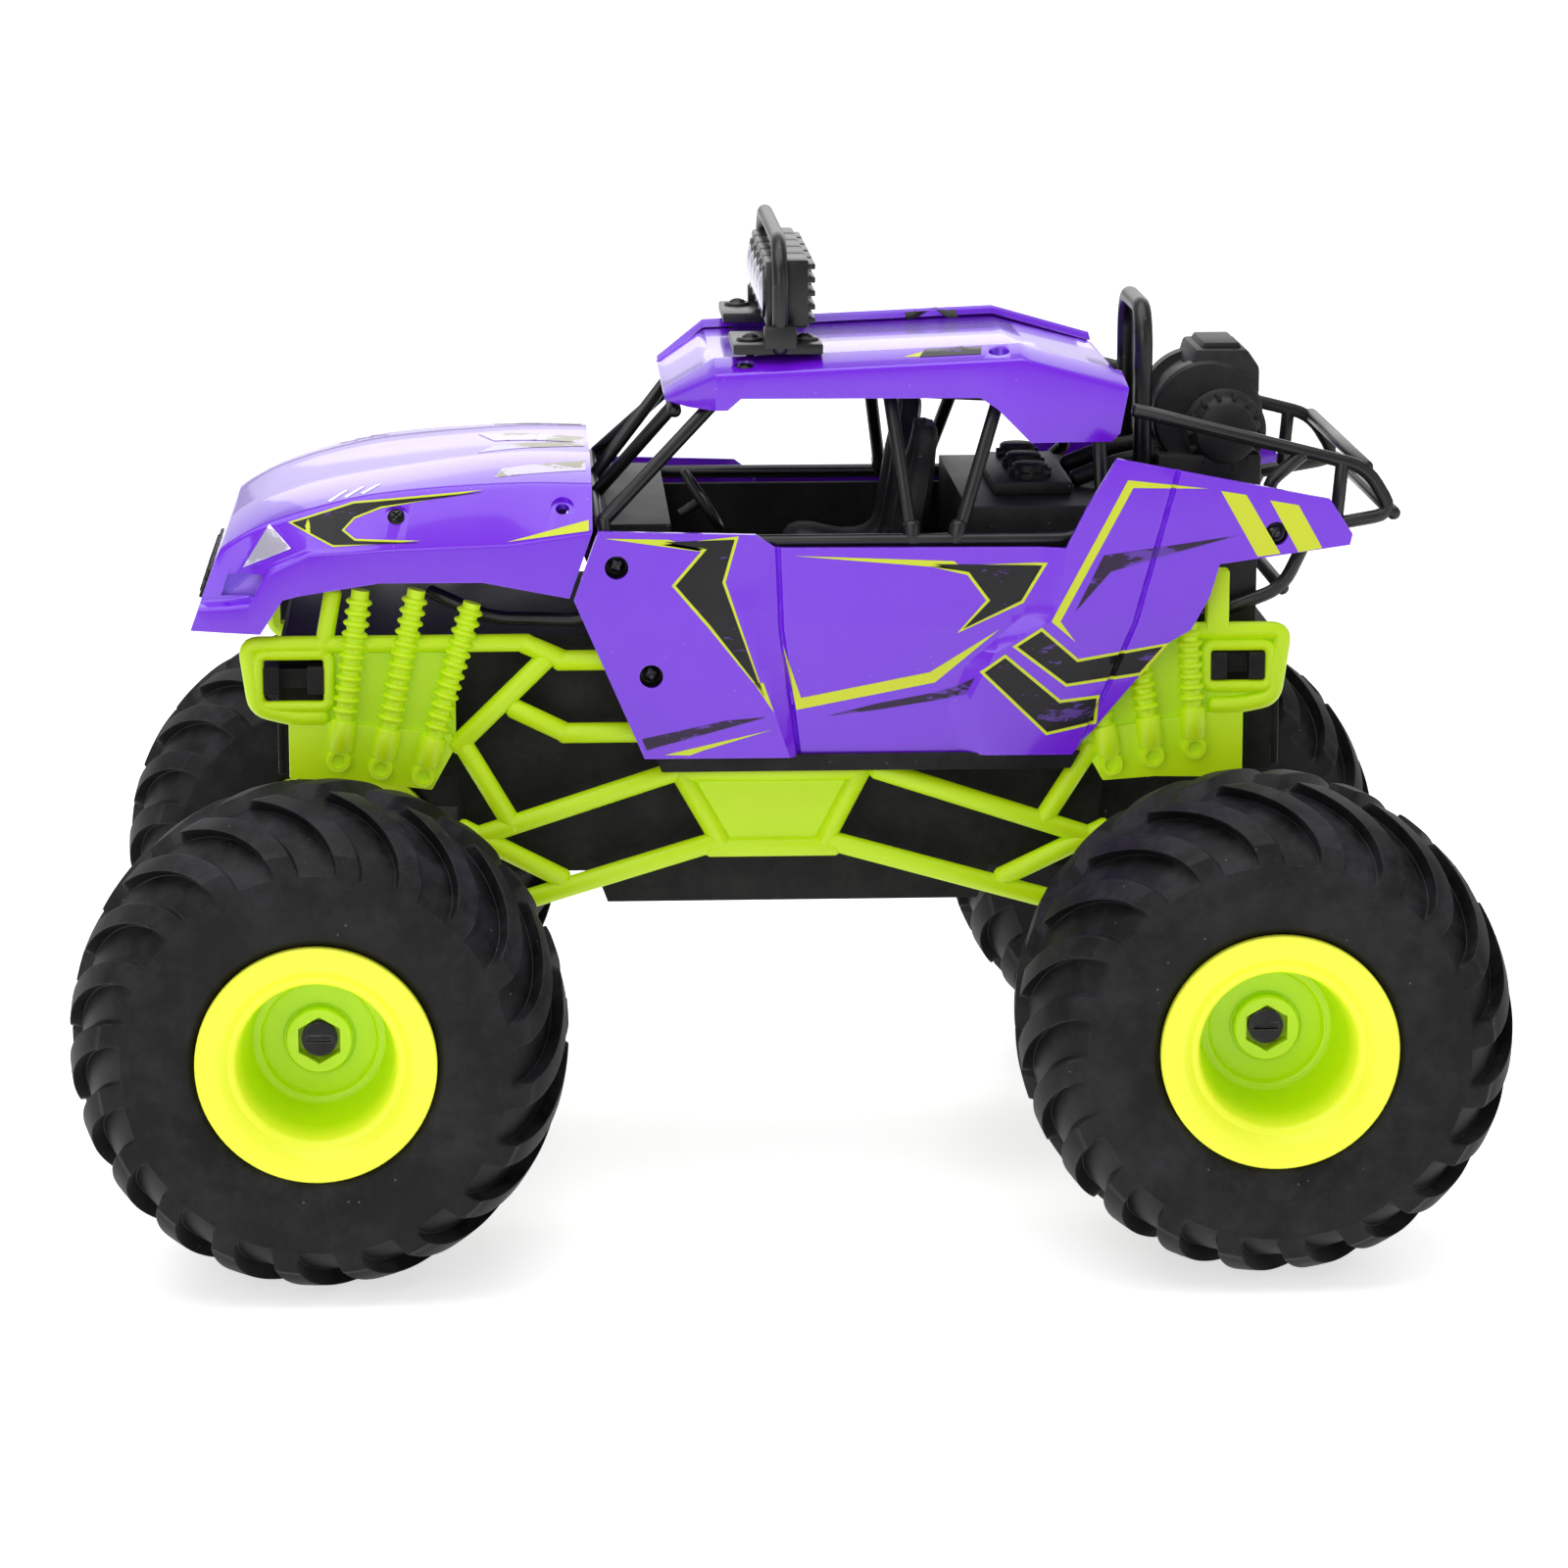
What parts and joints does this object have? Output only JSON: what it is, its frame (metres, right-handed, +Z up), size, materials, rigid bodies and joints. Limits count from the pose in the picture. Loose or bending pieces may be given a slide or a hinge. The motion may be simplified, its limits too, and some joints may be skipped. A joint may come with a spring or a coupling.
{
  "type": "rc monster truck",
  "caption": "Toy monster truck with balloon tyres on deep yellow rims, lime side frames, a purple shell over a black tubular cage, a roof light bar and a rear rack.",
  "frame": {"origin": "on the ground, midway between the axles and between the left and right wheels", "axes": "+X to the truck's left, -Y forwards, +Z up"},
  "size_m": [0.273, 0.343, 0.2405],
  "materials": {
    "body_purple": "glossy moulded shell",
    "frame_lime": "satin lime moulding",
    "rim_yellow": "satin neon yellow moulding",
    "tyre_rubber": "matt charcoal rubber",
    "chassis_black": "satin black moulding",
    "cage_black": "semi-gloss black moulding",
    "cabin_black": "satin black moulding",
    "lens_clear": "clear lens",
    "gear_nylon": "natural nylon",
    "pinion_brass": "machined",
    "steel": "ground",
    "screw_black": "blackened",
    "motor_can": "plated can",
    "board_green": "solder mask",
    "battery_wrap": "shrink wrap",
    "switch_plastic": "satin"
  },
  "bodies": {
    "chassis": {"battery_pack": "battery_wrap", "body_screws": "screw_black", "cabin_tub": "cabin_black", "cage_left": "cage_black", "cage_right": "cage_black", "chassis_deck": "chassis_black", "chassis_screws": "screw_black", "chassis_tub": "chassis_black", "circuit_board": "board_green", "drive_motor": "motor_can", "engine_moulding": "cabin_black", "front_axle_beam": "chassis_black", "gear_shaft": "steel", "headlight_lens_left": "lens_clear", "headlight_lens_right": "lens_clear", "hood_shell": "body_purple", "kingpins": "steel", "light_bar_frame": "cage_black", "light_bar_housing": "cage_black", "light_bar_lens": "lens_clear", "power_switch_body": "switch_plastic", "rear_axle_bushes": "gear_nylon", "rear_gearbox_case": "chassis_black", "rear_hoop": "cage_black", "rear_rack": "cage_black", "roof_panel": "body_purple", "seat_left": "cabin_black", "seat_right": "cabin_black", "side_frame_left": "frame_lime", "side_frame_right": "frame_lime", "side_panel_left": "body_purple", "side_panel_right": "body_purple", "steering_servo": "chassis_black", "steering_wheel": "cabin_black", "tow_hooks": "chassis_black", "windshield_bars": "cage_black"},
    "rear_axle": {"rear_axle_shaft": "steel", "final_gear": "gear_nylon", "rim_rear_left": "rim_yellow", "rim_rear_right": "rim_yellow", "tyre_rear_left": "tyre_rubber", "tyre_rear_right": "tyre_rubber", "rear_wheel_screws": "screw_black"},
    "reduction_gear": {"reduction_gear": "gear_nylon"},
    "motor_rotor": {"motor_shaft": "steel", "motor_pinion": "pinion_brass"},
    "knuckle_left": {"knuckle_left": "chassis_black", "stub_axle_left": "steel"},
    "knuckle_right": {"knuckle_right": "chassis_black", "stub_axle_right": "steel"},
    "front_wheel_left": {"rim_front_left": "rim_yellow", "tyre_front_left": "tyre_rubber"},
    "front_wheel_right": {"rim_front_right": "rim_yellow", "tyre_front_right": "tyre_rubber"},
    "tie_rod": {"tie_rod": "chassis_black"},
    "servo_arm": {"servo_arm": "chassis_black"},
    "battery_cover": {"battery_cover": "chassis_black", "battery_cover_screw": "screw_black"},
    "power_switch": {"power_switch_knob": "switch_plastic"}
  },
  "joints": [
    {"name": "rear_axle_spin", "type": "hinge", "parent": "chassis", "child": "rear_axle", "pos_m": [0, 0.1125, 0.059], "axis": [1, 0, 0], "continuous": true},
    {"name": "reduction_gear_spin", "type": "hinge", "parent": "chassis", "child": "reduction_gear", "pos_m": [0, 0.10349, 0.07595], "axis": [1, 0, 0], "continuous": true},
    {"name": "motor_spin", "type": "hinge", "parent": "chassis", "child": "motor_rotor", "pos_m": [0, 0.09539, 0.08998], "axis": [1, 0, 0], "continuous": true},
    {"name": "steer_left", "type": "hinge", "parent": "chassis", "child": "knuckle_left", "pos_m": [0.08, -0.1125, 0.059], "axis": [0, 0, 1], "range_deg": [-20, 20]},
    {"name": "steer_right", "type": "hinge", "parent": "chassis", "child": "knuckle_right", "pos_m": [-0.08, -0.1125, 0.059], "axis": [0, 0, 1], "range_deg": [-20, 20]},
    {"name": "front_left_spin", "type": "hinge", "parent": "knuckle_left", "child": "front_wheel_left", "pos_m": [0.103, -0.1125, 0.059], "axis": [1, 0, 0], "continuous": true},
    {"name": "front_right_spin", "type": "hinge", "parent": "knuckle_right", "child": "front_wheel_right", "pos_m": [-0.103, -0.1125, 0.059], "axis": [1, 0, 0], "continuous": true},
    {"name": "tie_rod_slide", "type": "slide", "parent": "chassis", "child": "tie_rod", "axis": [1, 0, 0], "range_m": [-0.0046, 0.0046]},
    {"name": "servo_arm_turn", "type": "hinge", "parent": "chassis", "child": "servo_arm", "pos_m": [0, -0.0865, 0.059], "axis": [0, 0, 1], "range_deg": [-20.5, 20.5]},
    {"name": "battery_cover_hinge", "type": "hinge", "parent": "chassis", "child": "battery_cover", "pos_m": [0, -0.0365, 0.0772], "axis": [-1, 0, 0], "range_deg": [0, 80]},
    {"name": "power_switch_slide", "type": "slide", "parent": "chassis", "child": "power_switch", "axis": [0, 1, 0], "range_m": [0, 0.004]}
  ],
  "couplings": [
    {"joint": "reduction_gear_spin", "follows": "rear_axle_spin", "ratio": -3},
    {"joint": "motor_spin", "follows": "rear_axle_spin", "ratio": 10.5},
    {"joint": "steer_right", "follows": "steer_left", "ratio": 1},
    {"joint": "tie_rod_slide", "follows": "steer_left", "m_per_rad": -0.013},
    {"joint": "servo_arm_turn", "follows": "steer_left", "ratio": -1}
  ]
}
